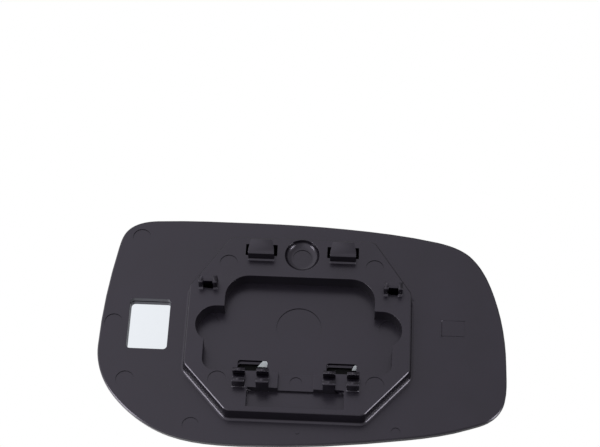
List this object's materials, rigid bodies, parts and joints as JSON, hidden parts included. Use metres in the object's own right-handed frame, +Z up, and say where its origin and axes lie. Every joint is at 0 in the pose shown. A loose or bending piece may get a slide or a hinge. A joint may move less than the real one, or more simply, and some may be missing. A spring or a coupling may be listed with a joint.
{
  "type": "car door mirror glass",
  "caption": "Left-hand car door mirror glass bonded to a moulded backing plate, with clips, hooks and claws on an eight-sided boss that snap onto the mirror's actuator.",
  "frame": {"origin": "middle of the round pad in the floor of the pocket", "axes": "as it stands in the car: +Z up, +Y out of the back of the plate towards the actuator, and the mirror faces -Y"},
  "size_m": [0.168, 0.0175, 0.102],
  "materials": {
    "mirror_glass": "polished",
    "adhesive_film": "matte",
    "backing_plate": "satin moulded"
  },
  "bodies": {
    "root": {"mirror_glass": "mirror_glass", "adhesive_film": "adhesive_film", "backing_plate": "backing_plate"}
  },
  "joints": []
}
